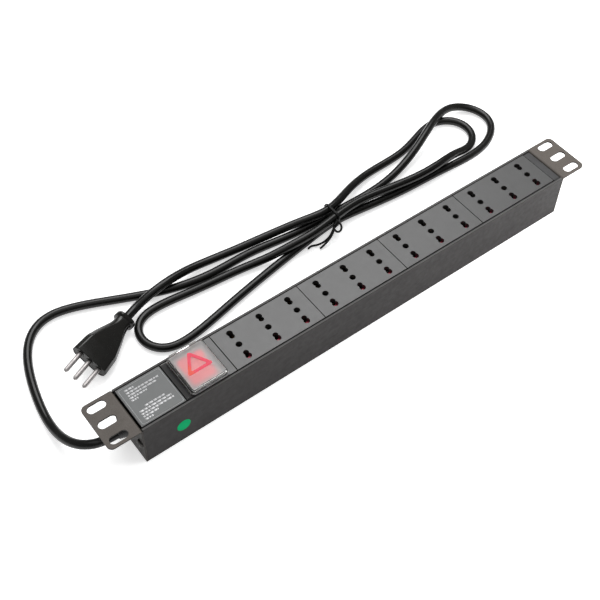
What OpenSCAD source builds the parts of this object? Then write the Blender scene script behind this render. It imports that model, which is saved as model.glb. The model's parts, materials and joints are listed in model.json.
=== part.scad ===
// Rack power strip, one rack unit high: twelve three-pin outlets, a covered switch and a fixed cord.
// Millimetres. X runs along the strip, Y across it, and +Z is the face with the outlets.
// The origin is the middle of the housing's bottom face. The cord leaves the -X end.

/* [Housing] */
// Length of the aluminium extrusion
housing_l = 432; // [431:0.5:434]
// Width over the side walls
housing_w = 44.4; // [44.2:0.1:44.8]
// Height from the base to the top of the lips
housing_h = 44.8; // [44.6:0.1:45]
// Thickness of the walls and the floor
wall = 1.6; // [1.5:0.1:1.7]

/* [Rack brackets] */
// Length over both rack tabs
overall_l = 487.5; // [485.5:0.5:488.5]
// Thickness of the bracket sheet
bracket_t = 1.5; // [1.4:0.1:1.6]
// Distance between the slots of the left and right tabs
rack_slot_span = 465.1; // [464:0.1:466]
// Distance from one slot to the next along a tab
rack_slot_pitch = 15.875; // [15.8:0.025:15.9]
// Length of a slot, end to end
rack_slot_l = 15.4; // [14:0.2:16]
// Width of a slot
rack_slot_w = 7.2; // [6.8:0.2:7.4]

/* [Outlets] */
// Number of outlet modules
module_count = 4; // [4]
// Length of one outlet module
module_l = 84.5; // [84.4:0.05:84.6]
// X of the middle of the row of modules
module_row_x = 39.5; // [39:0.5:40]
// Distance between outlets in one module
outlet_pitch = 28; // [27.8:0.1:28.1]
// Diameter of the earth hole and of the outer side holes
large_hole_d = 5.3; // [5.2:0.1:5.4]
// Diameter of the inner side holes
small_hole_d = 4.6; // [4.4:0.1:4.7]

/* [Switch] */
// X of the middle of the switch
switch_x = -153.8; // [-154.2:0.2:-153.4]
// Angle of the rocker at rest, its front side pressed
rocker_tilt = 7; // [6:0.5:7]

/* [Cord] */
// Diameter of the cord's jacket
cord_d = 7.6; // [7.4:0.1:7.6]
// Height of the cord's entry above the base
cord_z = 22; // [22]

/* [Hidden] */

gap = 0.1;                       // gap left between pieces that rest on each other
round_fn = 48;                   // facets of a small true round
hull_fn = 32;                    // facets of a round inside a hull

// Housing section
housing_end = housing_l / 2;
inner_y = housing_w / 2 - wall;  // inside of the side walls
ledge_y = 18.8;                  // inner edge of the ledges under the modules
ledge_top = 41.3;
ledge_t = 1.8;
lip_y = 20;                      // inner edge of the lips beside the modules
port_y = 17.1;                   // screw ports along the side walls
port_z = 22;
port_r = 3.1;
port_bore_r = 1.7;

// Face plates: modules, label plate and switch frame share one level
plate_y = 19.5;                  // half the depth of the plates
plate_shift = 0.3;               // the plates sit nearer the back lip than the front one
plate_bottom = ledge_top + gap;
plate_top = 44.4;
plate_bevel = 0.35;
plate_gap = 0.6;                 // gap between one plate and the next
row_start = module_row_x - module_count * module_l / 2;
row_end = module_row_x + module_count * module_l / 2;
label_start = -214.8;
label_end = -175.4;
end_stop_top = 43.4;

// Brackets
bend_r = 2.4;                    // outer radius of the bend between end plate and tab
tab_top = 44.3;
tab_corner_r = 4.5;
end_plate_x = housing_end + bracket_t;
screw_d = 3.3;
screw_hole_d = 4.4;
gland_hole_d = 13;

// Outlets
side_hole_small_y = 9.5;
side_hole_large_y = 12.9;
back_y = 18.4;                   // half width of a module's back
back_bottom = 26.5;
channel_floor = 28;
line_y = 11.3;                   // line and neutral channels sit at -Y and +Y
channel_w = 10;
earth_channel_w = 7;
rail_top = 37;
collar_bottom = 39.9;            // collars around the holes reach down from the face
collar_t = 0.6;
rail_t = 1.4;
rail_w = 0.8;
bar_start = -127.5;
bar_end = 205;

// Switch
case_x = 23.4;
case_y = 27.2;
case_bottom = 22;
bezel_x = 26.4;
bezel_y = 31;
bezel_top = 46.2;
rocker_z = 43;                   // rocker axis
rocker_x = 20.4;
rocker_r = 12.2;
opening_x = 21;
opening_y = 25.6;
pivot_d = 2.4;
cover_x = 33.8;
cover_front = -19.8;
cover_back = 18.6;
cover_bottom = 46.1;
cover_top = 51;
cover_t = 1.2;
cover_corner = 2.6;
cover_middle = (cover_front + cover_back) / 2;
hinge_y = 20.1;                  // cover hinge axis
hinge_z = 46.5;
knuckle_r = 1.35;
hinge_pin_d = 1.2;
blade_x = 6;                     // terminal blades at +-X and +-Y of the switch's middle
blade_y = 7;
blade_bottom = 12;

// Cord, plug and tie
ring_gap = 48;                   // distance between the rings of the cord's tube
tube_r = cord_d / 2 - 0.05;
plug_at = [-162.5, 97.5, 9.2];
plug_turn = [-33, -6.6, 206.5];  // roll, pitch and heading of the plug on the floor
plug_l = 53.4;
pin_l = 20.7;
pin_pitch = 9.5;
pin_d = 4;
// The cord lies from its gland along the strip, in two long loops held by a tie, to its plug
cord_route = [
    [-203, 0, 22], [-222, 0, 22], [-241, 0, 22], [-254, 8, 20], [-261, 25, 12.5],
    [-262, 50, 3.9], [-257, 82, 3.9], [-243, 127, 3.9], [-212, 149, 3.9], [-160, 125, 3.9],
    [-112, 103.5, 3.9], [-72, 98, 3.9], [-35, 100.5, 3.9], [5, 93, 3.9], [46, 92.5, 5.6],
    [82, 92, 3.9], [120, 94.5, 3.9], [155, 104, 9], [182, 115.5, 14.5], [205, 127, 14],
    [230, 134.5, 8], [250, 122, 3.9], [253, 98.5, 3.9], [236, 81, 3.9], [208, 72, 3.9],
    [165, 76.5, 3.9], [125, 76.5, 3.9], [85, 80.5, 3.9], [46, 84.8, 5.6], [15, 80.5, 3.9],
    [-30, 73, 3.9], [-80, 63.5, 3.9], [-134, 50.5, 3.9], [-155, 57, 3.9], [-163.5, 75, 3.9],
    [-156, 92.5, 3.9], [-136, 98.5, 3.9], [-95, 92, 3.9], [-55, 89.5, 3.9], [-27, 83, 6.2],
    [-5, 78.5, 12.8], [20, 77.5, 13.5], [46, 82.3, 13.3], [74, 86, 12.4], [102, 82.5, 11.6],
    [143, 76, 12], [175, 78.5, 12.7], [192, 82.5, 7.5], [210, 81.5, 3.9], [227, 96, 3.9],
    [225, 118.5, 3.9], [205, 131, 3.9], [182, 125.5, 3.9], [152, 113.5, 3.9], [112, 114.5, 3.9],
    [80, 106, 8.5], [46, 89.5, 13.9], [22, 95, 13.6], [-10, 103.5, 7.5], [-50, 110, 3.9],
    [-86, 114, 6], [-112, 108.5, 13.5], [-134, 105.5, 12.5], [-149.5, 104, 7.5], plug_at];

// ---- helpers ----

// Points of an arc from angle a to angle b
function arc(centre, r, a, b, steps = 8) =
    [for (i = [0:steps]) centre + r * [cos(a + (b - a) * i / steps), sin(a + (b - a) * i / steps)]];

// Outline of a rectangle with round corners
function round_rect(x, y, r) = concat(
    arc([x / 2 - r, y / 2 - r], r, 0, 90), arc([r - x / 2, y / 2 - r], r, 90, 180),
    arc([r - x / 2, r - y / 2], r, 180, 270), arc([x / 2 - r, r - y / 2], r, 270, 360));

function unit(v) = v / norm(v);

// A cubic B-spline whose ends lie on the first and last points, with more rings where it bends
function bend(q, i) = let (a = q[i + 1] - q[i], b = q[i + 2] - q[i + 1], c = q[i + 3] - q[i + 2])
    max(acos(min(1, unit(a) * unit(b))), acos(min(1, unit(b) * unit(c))));
function padded(p) = concat([2 * p[0] - p[1]], p, [2 * p[len(p) - 1] - p[len(p) - 2]]);
function spline_point(q, i, t) =
    (pow(1 - t, 3) * q[i] + (3 * pow(t, 3) - 6 * t * t + 4) * q[i + 1]
    + (-3 * pow(t, 3) + 3 * t * t + 3 * t + 1) * q[i + 2] + pow(t, 3) * q[i + 3]) / 6;
function spline(p, step) = let (q = padded(p)) concat(
    [for (i = [0:len(p) - 2])
        let (n = max(1, round(norm(p[i + 1] - p[i]) / step), round(bend(q, i) / 28)))
            for (j = [0:n - 1]) spline_point(q, i, j / n)],
    [p[len(p) - 1]]);

// Ring of points around a line, square to the direction along it
function ring(c, along, r, sides, up) = let (s = unit(cross(along, up)), u = cross(s, along))
    [for (k = [0:sides - 1]) c + r * (cos(360 * k / sides) * s + sin(360 * k / sides) * u)];

module tube(line, r, sides = 8, up = [0, 0, 1]) {
    n = len(line);
    points = [for (i = [0:n - 1]) each
        ring(line[i], unit(line[min(i + 1, n - 1)] - line[max(i - 1, 0)]), r, sides, up)];
    walls = [for (i = [0:n - 2], k = [0:sides - 1]) let (next = (k + 1) % sides)
        [i * sides + k, i * sides + next, (i + 1) * sides + next, (i + 1) * sides + k]];
    start = [for (k = [0:sides - 1]) sides - 1 - k];
    finish = [for (k = [0:sides - 1]) (n - 1) * sides + k];
    polyhedron(points, concat([start], walls, [finish]), convexity = 10);
}

// Extrudes a YZ section along X, from x0 to x1
module along_x(x0, x1) {
    translate([x0, 0, 0]) rotate([90, 0, 90]) linear_extrude(x1 - x0) children();
}

// Extrudes an XZ section along Y, from y0 to y1
module along_y(y0, y1) {
    translate([0, y1, 0]) rotate([90, 0, 0]) linear_extrude(y1 - y0) children();
}

module box(low, high) {
    translate(low) cube(high - low);
}

module rod_x(x0, x1, d, y = 0, z = 0) {
    translate([x0, y, z]) rotate([0, 90, 0]) cylinder(h = x1 - x0, d = d, $fn = round_fn);
}

function outlet_x(m, i) = row_start + (m - 0.5) * module_l + (i - 2) * outlet_pitch;

// ---- housing ----

module housing_section() {
    low_r = 1;
    bevel = 0.4;
    lip_bevel = 0.4;
    w = housing_w / 2;
    difference() {
        polygon(concat(
            arc([low_r - w, low_r], low_r, 180, 270), arc([w - low_r, low_r], low_r, 270, 360),
            [[w, housing_h - bevel], [w - bevel, housing_h],
             [lip_y + lip_bevel, housing_h], [lip_y, housing_h - lip_bevel],
             [lip_y, ledge_top], [ledge_y, ledge_top],
             [ledge_y, ledge_top - ledge_t], [inner_y, ledge_top - ledge_t - 1.4],
             [inner_y, wall], [-inner_y, wall],
             [-inner_y, ledge_top - ledge_t - 1.4], [-ledge_y, ledge_top - ledge_t],
             [-ledge_y, ledge_top], [-lip_y, ledge_top],
             [-lip_y, housing_h - lip_bevel], [-lip_y - lip_bevel, housing_h],
             [bevel - w, housing_h], [-w, housing_h - bevel]]));
    }
    for (side = [-1, 1]) {
        translate([side * port_y, port_z]) circle(port_r, $fn = round_fn);
        translate([side * (inner_y + port_y) / 2, port_z])
            square([inner_y - port_y + 0.4, 3], center = true);
    }
}

module housing() {
    color("#2f2f31") difference() {
        along_x(-housing_end, housing_end) housing_section();
        for (side = [-1, 1]) translate([-housing_end - 1, side * port_y, port_z])
            rotate([0, 90, 0]) cylinder(h = housing_l + 2, r = port_bore_r, $fn = round_fn);
    }
}

module base_liner() {
    color("#d8d8d0") box([-185, -16.4, wall + gap], [housing_end - 3, 16.4, wall + gap + 0.7]);
}

// ---- brackets ----

module bracket_blank() {
    plate_low = 0.6;
    centre = [housing_end + bend_r, tab_top - bend_r];
    tip = overall_l / 2;
    intersection() {
        along_y(-housing_w / 2, housing_w / 2) polygon(concat(
            [[housing_end, plate_low]], arc(centre, bend_r, 180, 90),
            [[tip, tab_top], [tip, tab_top - bracket_t]],
            arc(centre, bend_r - bracket_t, 90, 180),
            [[end_plate_x, plate_low]]));
        linear_extrude(60) polygon(concat(
            [[housing_end - 1, -housing_w / 2]],
            arc([tip - tab_corner_r, tab_corner_r - housing_w / 2], tab_corner_r, 270, 360),
            arc([tip - tab_corner_r, housing_w / 2 - tab_corner_r], tab_corner_r, 0, 90),
            [[housing_end - 1, housing_w / 2]]));
    }
}

module rack_slot() {
    reach = (rack_slot_l - rack_slot_w) / 2;
    for (end = [-1, 1]) translate([end * reach, 0, 0])
        cylinder(h = 10, d = rack_slot_w, center = true, $fn = round_fn);
    cube([2 * reach, rack_slot_w, 10], center = true);
}

module bracket() {
    difference() {
        bracket_blank();
        for (row = [-1:1]) translate([rack_slot_span / 2, row * rack_slot_pitch, tab_top])
            rack_slot();
        for (side = [-1, 1]) rod_x(housing_end - 1, end_plate_x + 1, screw_hole_d,
            side * port_y, port_z);
    }
}

module bracket_left() {
    color("#4a4744") difference() {
        mirror([1, 0, 0]) bracket();
        rod_x(-end_plate_x - 1, 1 - housing_end, gland_hole_d, 0, cord_z);
    }
}

module bracket_right() {
    color("#4a4744") bracket();
}

module bracket_screw() {
    head_h = 2.2;
    head_d = 7;
    cross_w = 1;
    difference() {
        union() {
            rod_x(end_plate_x - 11, end_plate_x, screw_d);
            rod_x(end_plate_x, end_plate_x + head_h, head_d);
        }
        translate([end_plate_x + head_h, 0, 0]) {
            cube([2, cross_w, 4], center = true);
            cube([2, 4, cross_w], center = true);
        }
    }
}

module bracket_screws() {
    color("#1c1c1e") for (end = [0, 1], side = [-1, 1])
        mirror([end, 0, 0]) translate([0, side * port_y, port_z]) bracket_screw();
}

// ---- face plates ----

module plate_section() {
    translate([plate_shift, 0]) polygon([
        [-plate_y, plate_bottom], [plate_y, plate_bottom],
        [plate_y, plate_top - plate_bevel], [plate_y - plate_bevel, plate_top],
        [plate_bevel - plate_y, plate_top], [-plate_y, plate_top - plate_bevel]]);
}

module end_stop() {
    color("#1b1b1c") box([row_end + plate_gap, plate_shift - plate_y, plate_bottom],
        [housing_end - gap, plate_shift + plate_y, end_stop_top]);
}

module label_plate() {
    rib = 1.4;
    color("#323234") {
        along_x(label_start, label_end - plate_gap) plate_section();
        for (side = [-1, 1], x = [-208, -194, -180])
            box([x, side * 17 - rib / 2, 34], [x + 3, side * 17 + rib / 2, plate_bottom]);
    }
}

module label_sticker() {
    color("#6c7174") translate([(label_start + label_end) / 2, 0, plate_top])
        linear_extrude(0.2) polygon(round_rect(37.6, 37.6, 2));
}

module green_dot() {
    color("#0aa05c") translate([-182.4, -housing_w / 2, 20]) rotate([90, 0, 0])
        cylinder(h = 0.12, d = 12, $fn = round_fn);
}

// ---- switch and its cover ----

module switch_frame() {
    color("#323234") difference() {
        along_x(label_end, row_start - plate_gap) plate_section();
        translate([switch_x, 0, 40]) cube([case_x + 0.2, case_y + 0.2, 20], center = true);
    }
}

module cover_base() {
    ring_x = cover_x - 0.6;
    ring_y = 38.4;
    top = cover_bottom - 0.3;
    flange_y = 18.8;
    color("#1d1d1e") difference() {
        union() {
            box([label_end + 0.2, -flange_y, plate_top],
                [switch_x - ring_x / 2 + 2, flange_y, plate_top + 0.6]);
            translate([switch_x, cover_middle, plate_top]) linear_extrude(top - plate_top)
                polygon(round_rect(ring_x, ring_y - 0.4, cover_corner));
            for (side = [-1, 1]) {
                x = switch_x + side * 9;
                rod_x(x - 3, x + 3, 2 * knuckle_r, hinge_y, hinge_z);
                box([x - 3, cover_back - 1, plate_top + 0.5], [x + 3, hinge_y - 0.2, hinge_z - 0.4]);
                box([x - 3, hinge_y - 1.1, hinge_z - 1.5], [x + 3, hinge_y + 1.1, hinge_z - 0.4]);
            }
        }
        translate([switch_x, 0, plate_top])
            cube([bezel_x + 0.2, bezel_y + 0.2, 8], center = true);
        rod_x(switch_x - 20, switch_x + 20, hinge_pin_d, hinge_y, hinge_z);
    }
}

module switch_cover() {
    color("#eef1f2", 0.45) difference() {
        union() {
            translate([switch_x, cover_middle, cover_bottom])
                linear_extrude(cover_top - cover_bottom)
                    polygon(round_rect(cover_x, cover_back - cover_front, cover_corner));
            rod_x(switch_x - 5.6, switch_x + 5.6, 2 * knuckle_r, hinge_y, hinge_z);
            box([switch_x - 5.6, cover_back - 0.6, hinge_z - 0.2],
                [switch_x + 5.6, hinge_y, hinge_z + knuckle_r]);
        }
        translate([switch_x, cover_middle, cover_bottom - 1])
            linear_extrude(cover_top - cover_bottom - cover_t + 1) polygon(round_rect(
                cover_x - 2 * cover_t, cover_back - cover_front - 2 * cover_t,
                cover_corner - cover_t));
        rod_x(switch_x - 6, switch_x + 6, hinge_pin_d + 0.1, hinge_y, hinge_z);
    }
}

module cover_pin() {
    color("#b9bcc0") rod_x(switch_x - 12, switch_x + 12, hinge_pin_d, hinge_y, hinge_z);
}

// A plain triangle outline, printed on the cover
module cover_mark() {
    centre_y = 0.4;
    outer_r = 13;
    inner_r = 8;
    color("#f0353f") translate([switch_x, centre_y, cover_top]) linear_extrude(0.15)
        difference() {
            polygon([for (a = [90, 210, 330]) outer_r * [cos(a), sin(a)]]);
            polygon([for (a = [90, 210, 330]) inner_r * [cos(a), sin(a)]]);
        }
}

module switch_case() {
    case_wall = (case_x - opening_x) / 2;
    floor_top = case_bottom + 1.5;
    color("#b4b4b2") translate([switch_x, 0, 0]) difference() {
        union() {
            box([-case_x / 2, -case_y / 2, case_bottom], [case_x / 2, case_y / 2, plate_top]);
            box([-bezel_x / 2, -bezel_y / 2, plate_top + 0.02], [bezel_x / 2, bezel_y / 2, bezel_top]);
            box([-case_x / 2, -case_y / 2, plate_top - 1], [case_x / 2, case_y / 2, plate_top + 1]);
        }
        box([-opening_x / 2, -opening_y / 2, floor_top], [opening_x / 2, opening_y / 2, 60]);
        rod_x(-case_wall - opening_x / 2 - 1, case_wall + opening_x / 2 + 1, pivot_d + 0.1,
            0, rocker_z);
        for (sx = [-1, 1], sy = [-1, 1]) translate([sx * blade_x, sy * blade_y, case_bottom])
            cube([1, 6.5, 8], center = true);
    }
}

module rocker() {
    end_top = [11.28, 4.65];
    end_low = [12.15, -1.06];
    color("#d8232a", 0.9) translate([switch_x, 0, rocker_z]) rotate([rocker_tilt, 0, 0]) {
        along_x(-rocker_x / 2, rocker_x / 2) polygon(concat(
            arc([0, 0], rocker_r, -5, 22.4, 6),
            [[6, 3.2], [0, 2.3], [-6, 3.2]],
            arc([0, 0], rocker_r, 157.6, 185, 6),
            [[-4, -3.6], [4, -3.6]]));
        rod_x(-rocker_x / 2 - 1, rocker_x / 2 + 1, pivot_d);
    }
}

module neon_lamp() {
    color("#f2a27a", 0.7) rod_x(switch_x - 4.5, switch_x + 4.5, 3.6, 0, 32);
}

module switch_terminals() {
    color("#c9a25a") for (sx = [-1, 1], sy = [-1, 1])
        translate([switch_x + sx * blade_x, sy * blade_y, (blade_bottom + 27) / 2])
            cube([0.8, 6.3, 27 - blade_bottom], center = true);
}

module terminal_sleeves() {
    color("#3a4a7a") for (sx = [-1, 1], sy = [-1, 1])
        translate([switch_x + sx * blade_x, sy * blade_y, 0]) difference() {
            box([-2, -4, blade_bottom - 2], [2, 4, case_bottom - 1]);
            box([-0.5, -3.25, blade_bottom - 0.1], [0.5, 3.25, case_bottom]);
        }
}

// ---- outlet modules ----

// The nine holes of a module as upright rounds, widened by extra, from z0 to z1
module holes(m, extra, z0, z1) {
    for (i = [1:3], hole = [[0, large_hole_d], [side_hole_small_y, small_hole_d],
            [side_hole_large_y, large_hole_d]], side = hole[0] == 0 ? [1] : [-1, 1])
        translate([outlet_x(m, i), side * hole[0], z0])
            cylinder(h = z1 - z0, d = hole[1] + 2 * extra, $fn = round_fn);
}

module outlet_face(m) {
    x0 = row_start + (m - 1) * module_l;
    color("#343436") difference() {
        union() {
            along_x(x0, x0 + module_l - plate_gap) plate_section();
            holes(m, collar_t, collar_bottom, plate_bottom + 0.1);
        }
        holes(m, 0, collar_bottom - 1, plate_top + 1);
    }
}

// A tray with three channels for the bars; rails beside the -Y channel carry the shutters
module back_section() {
    difference() {
        translate([-back_y, back_bottom]) square([2 * back_y, ledge_top - back_bottom]);
        translate([-earth_channel_w / 2, channel_floor]) square([earth_channel_w, 20]);
        for (side = [-1, 1]) translate([side * line_y - channel_w / 2 + rail_w, channel_floor])
            square([channel_w - 2 * rail_w, 20]);
        for (side = [-1, 1]) {
            translate([side * line_y - channel_w / 2, channel_floor])
                square([channel_w, rail_top - rail_t - channel_floor]);
            translate([side * line_y - channel_w / 2, rail_top]) square([channel_w, 20]);
        }
    }
}

shutter_home = 3.4;              // reach of a shutter past its hole, away from its spring
shutter_reach = 6.3;             // how far it reaches on the spring's side
shutter_travel = 6.4;
shutter_front = -16.1;           // it lies under the outer hole of a pair only
shutter_back = -10.9;

module outlet_back(m) {
    x0 = row_start + (m - 1) * module_l;
    color("#28282a") {
        along_x(x0, x0 + module_l - plate_gap) back_section();
        for (i = [1:3]) for (x = [-shutter_home - 1.1, shutter_reach + shutter_travel + 0.2])
            box([outlet_x(m, i) + x, -line_y - channel_w / 2 - 0.2, rail_top - 0.2],
                [outlet_x(m, i) + x + 1, shutter_back, collar_bottom - 0.1]);
    }
}

// Wedge that a pin pushes aside, against a spring
module shutter(s) {
    m = ceil(s / 3);
    i = s - 3 * (m - 1);
    low = rail_top + 0.05;
    color("#b01020") translate([outlet_x(m, i), 0, 0]) along_y(shutter_front, shutter_back)
        polygon([[-shutter_home, low], [shutter_reach, low], [shutter_reach, low + 2.7],
            [3.4, low + 2.7], [-shutter_home, low + 0.8]]);
}

// Bar along the strip with a pair of spring leaves at every outlet
module busbar(y, bar_w, leaf_w) {
    foot = channel_floor + 0.2;
    strip_t = 0.8;
    color("#c98f4a") {
        box([bar_start, y - bar_w / 2, foot], [bar_end, y + bar_w / 2, foot + strip_t]);
        for (m = [1:4], i = [1:3], side = [0, 1]) translate([outlet_x(m, i), 0, 0])
            mirror([side, 0, 0]) along_y(y - leaf_w / 2, y + leaf_w / 2)
                polygon([[3, foot + 0.4], [3.6, foot + 0.4], [3.6, foot + 3], [2.5, foot + 6],
                    [3.5, foot + 8.2], [2.9, foot + 8.4], [1.8, foot + 6], [3, foot + 2.8]]);
    }
}

// ---- earth stud and wires ----

stud_at = [-203.5, -9];

module earth_stud() {
    color("#c4c6ca") translate([stud_at[0], stud_at[1], wall])
        cylinder(h = 10.4, d = 4, $fn = round_fn);
}

module earth_ring() {
    color("#d0b070") translate([stud_at[0], stud_at[1], wall + gap]) difference() {
        union() {
            cylinder(h = 0.8, d = 8.4, $fn = round_fn);
            box([3, -1.6, 0], [11, 1.6, 0.8]);
        }
        translate([0, 0, -1]) cylinder(h = 3, d = 4.2, $fn = round_fn);
    }
}

module earth_nut() {
    color("#c4c6ca") translate([stud_at[0], stud_at[1], wall + 1]) difference() {
        cylinder(h = 3.2, d = 8, $fn = 6);
        translate([0, 0, -1]) cylinder(h = 6, d = 4.2, $fn = round_fn);
    }
}

module wire(colour, route) {
    color(colour) tube(spline(route, 9), wire_r, 8, [0.02, 1, 0.02]);
}

wire_r = 1.4;
wire_start = -202.2;             // just inside the cord's inner end
bar_top = channel_floor + 1 + wire_r + 0.05;
// Route of an outgoing wire's last stretch, up and over onto its bus bar
function onto_bar(y) =
    [[-135, y, 16], [-135, y, 27], [-132, y, bar_top + 0.5], [-128, y, bar_top], [-124.5, y, bar_top]];
function to_switch(side) = [[wire_start, side * 2, 21], [-195, side * 3, 20], [-186, side * 5, 17],
    [-176, side * 7, 12], [-168, side * 7.5, 7.5], [-160.5, side * blade_y, 8.3]];
function from_switch(side) = concat(
    [[-147.8, side * blade_y, 8.3], [-143, side * 8, 7.5], [-138, side * 9.5, 9]],
    onto_bar(side * line_y));
wire_routes = [
    ["wire_line_in", "#7a4a22", to_switch(-1)],
    ["wire_neutral_in", "#2f5fa8", to_switch(1)],
    ["wire_earth_in", "#3f8f3a", [[wire_start, 0, 24.6], [-196, 0, 26.5], [-188, -4, 27],
        [-182, -9.5, 22], [-179, -13, 12], [-181, -13, 5.5], [-187, -10, 4.2], [-192.5, -9, 4.1]]],
    ["wire_line_out", "#7a4a22", from_switch(-1)],
    ["wire_neutral_out", "#2f5fa8", from_switch(1)],
    ["wire_earth_out", "#3f8f3a", concat([[-193.5, -9, 7.1], [-188, -9, 7.2], [-180, -6, 5.5],
        [-172, -1, 4.5], [-153.8, 0, 4.2], [-141, 0, 5]], onto_bar(0))]];

// ---- cord, gland, plug and tie ----

// Snap-in strain relief: a collar outside, a neck through the end plate and a clamp inside
module cord_gland() {
    collar_t = 3;
    nose_l = 7;
    inside_l = 13;
    face = -end_plate_x;
    color("#161617") translate([0, 0, cord_z]) difference() {
        union() {
            rod_x(face - collar_t, face, 17);
            rod_x(face - 0.5, 0.5 - housing_end, gland_hole_d - 0.2);
            rod_x(gap - housing_end, 4 - housing_end, 15);
            translate([face - collar_t, 0, 0]) rotate([0, -90, 0])
                cylinder(h = nose_l, d1 = 13, d2 = 9.4, $fn = round_fn);
            translate([4 - housing_end, 0, 0]) rotate([0, 90, 0])
                cylinder(h = inside_l - 4, d1 = 13, d2 = 10, $fn = round_fn);
        }
        rod_x(-260, -190, cord_d + 0.2);
    }
}

module power_cord() {
    color("#1d1d1e") tube(spline(cord_route, ring_gap), tube_r, 10);
}

// Wire tie around the four strands of the bundle, 2 mm wide along it
module twist_tie() {
    tie_x = 46;
    clear = 0.4;
    wire_t = 0.8;
    strands = [[92.5, 5], [83.25, 5], [82.05, 13.2], [93.1, 13]];
    color("#111112") along_x(tie_x - 1, tie_x + 1) difference() {
        hull() for (s = strands) translate(s) circle(cord_d / 2 + clear + wire_t, $fn = hull_fn);
        hull() for (s = strands) translate(s) circle(cord_d / 2 + clear, $fn = hull_fn);
    }
}

module on_plug() {
    translate(plug_at) rotate(plug_turn) children();
}

// Hexagonal slice of the plug at x along its axis
module plug_slice(x, half_w, half_t, t = 0.4) {
    translate([x, 0, 0]) rotate([90, 0, 90]) linear_extrude(t) polygon([
        [-half_w, -0.45 * half_t], [-half_w + 3, -half_t], [half_w - 3, -half_t],
        [half_w, -0.45 * half_t], [half_w, 0.45 * half_t], [half_w - 3, half_t],
        [3 - half_w, half_t], [-half_w, 0.45 * half_t]]);
}

module plug_body() {
    color("#141415") on_plug() {
        hull() { plug_slice(plug_l - 0.4, 16.6, 5.5); plug_slice(37.5, 15.6, 7.6); }
        hull() { plug_slice(37.5, 15.6, 7.6); plug_slice(20, 10.3, 6.6); }
        hull() { plug_slice(20, 10.5, 6.6); plug_slice(8, 7, 6); }
        hull() { plug_slice(8, 7, 6); plug_slice(3.6, 8.4, 6.8); }
        translate([0.3, 0, 0]) rotate([0, 90, 0]) cylinder(h = 3.7, r = 9.2, $fn = hull_fn);
    }
}

module plug_pins() {
    color("#cfcfd2") on_plug() for (row = [-1:1]) translate([plug_l, row * pin_pitch, 0]) {
        rotate([0, 90, 0]) cylinder(h = pin_l - pin_d / 2, d = pin_d, $fn = round_fn);
        translate([pin_l - pin_d / 2, 0, 0]) sphere(d = pin_d, $fn = round_fn);
    }
}

housing();
base_liner();
bracket_left();
bracket_right();
bracket_screws();
end_stop();
label_plate();
label_sticker();
green_dot();
switch_frame();
cover_base();
switch_cover();
cover_mark();
cover_pin();
switch_case();
rocker();
neon_lamp();
switch_terminals();
terminal_sleeves();
for (m = [1:4]) outlet_face(m);
for (m = [1:4]) outlet_back(m);
for (s = [1:12]) shutter(s);
busbar(-line_y, 6, 7.6);  // busbar_line
busbar(line_y, 6, 7.6);  // busbar_neutral
busbar(0, 5, 5);  // busbar_earth
earth_stud();
earth_nut();
earth_ring();
for (w = wire_routes) wire(w[1], w[2]);
cord_gland();
power_cord();
twist_tie();
plug_body();
plug_pins();
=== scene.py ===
"""Rack power strip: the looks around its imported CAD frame, in metres and in the CAD's frame."""

import json
import math
import random

import bmesh
import bpy
from mathutils import Matrix, Vector


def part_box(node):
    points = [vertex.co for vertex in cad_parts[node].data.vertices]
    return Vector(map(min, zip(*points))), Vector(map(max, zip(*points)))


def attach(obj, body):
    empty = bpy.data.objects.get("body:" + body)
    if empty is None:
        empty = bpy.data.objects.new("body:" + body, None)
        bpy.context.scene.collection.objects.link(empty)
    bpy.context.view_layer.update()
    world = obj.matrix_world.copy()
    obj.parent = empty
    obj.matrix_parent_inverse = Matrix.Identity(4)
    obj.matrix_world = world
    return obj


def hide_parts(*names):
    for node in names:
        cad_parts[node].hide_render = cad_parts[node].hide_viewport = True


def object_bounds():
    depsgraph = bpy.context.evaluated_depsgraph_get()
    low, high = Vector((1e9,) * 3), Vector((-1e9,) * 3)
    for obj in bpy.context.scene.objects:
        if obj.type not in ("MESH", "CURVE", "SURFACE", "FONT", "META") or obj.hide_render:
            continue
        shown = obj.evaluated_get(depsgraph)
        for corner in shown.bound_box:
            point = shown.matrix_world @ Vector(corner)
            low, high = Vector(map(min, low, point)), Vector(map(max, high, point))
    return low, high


MM = 0.001
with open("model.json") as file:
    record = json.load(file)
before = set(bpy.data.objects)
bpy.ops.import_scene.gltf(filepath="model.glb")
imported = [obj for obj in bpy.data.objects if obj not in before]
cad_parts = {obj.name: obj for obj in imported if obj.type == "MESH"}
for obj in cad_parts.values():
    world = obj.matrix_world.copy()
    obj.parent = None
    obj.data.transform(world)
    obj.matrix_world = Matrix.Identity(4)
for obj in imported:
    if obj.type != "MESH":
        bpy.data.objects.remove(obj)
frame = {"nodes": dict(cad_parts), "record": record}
NODES = frame["nodes"]
CAD_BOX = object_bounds()


# Places that the CAD design fixes, in millimetres
BRACKET_T = 1.5
END_Z = 22  # height of the cord's entry and of the end plates' screws
SCREW_Y = 17.1
HINGE_Y, HINGE_Z = 20.1, 46.5


def mm(*values):
    return Vector(values) * MM


def turn(steps):
    """Angles of that many even steps round a full turn."""
    return [2 * math.pi * k / steps for k in range(steps)]


# ---------------------------------------------------------------- camera

CAMERA_AZIMUTH = math.radians(-37.94)
CAMERA_ELEVATION = math.radians(52.23)
CAMERA_ROLL = math.radians(1.28)
CAMERA_TARGET = mm(-39.66, 21.47, 20)
CAMERA_DISTANCE = 0.88711
CAMERA_LENS = 64.35


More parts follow.
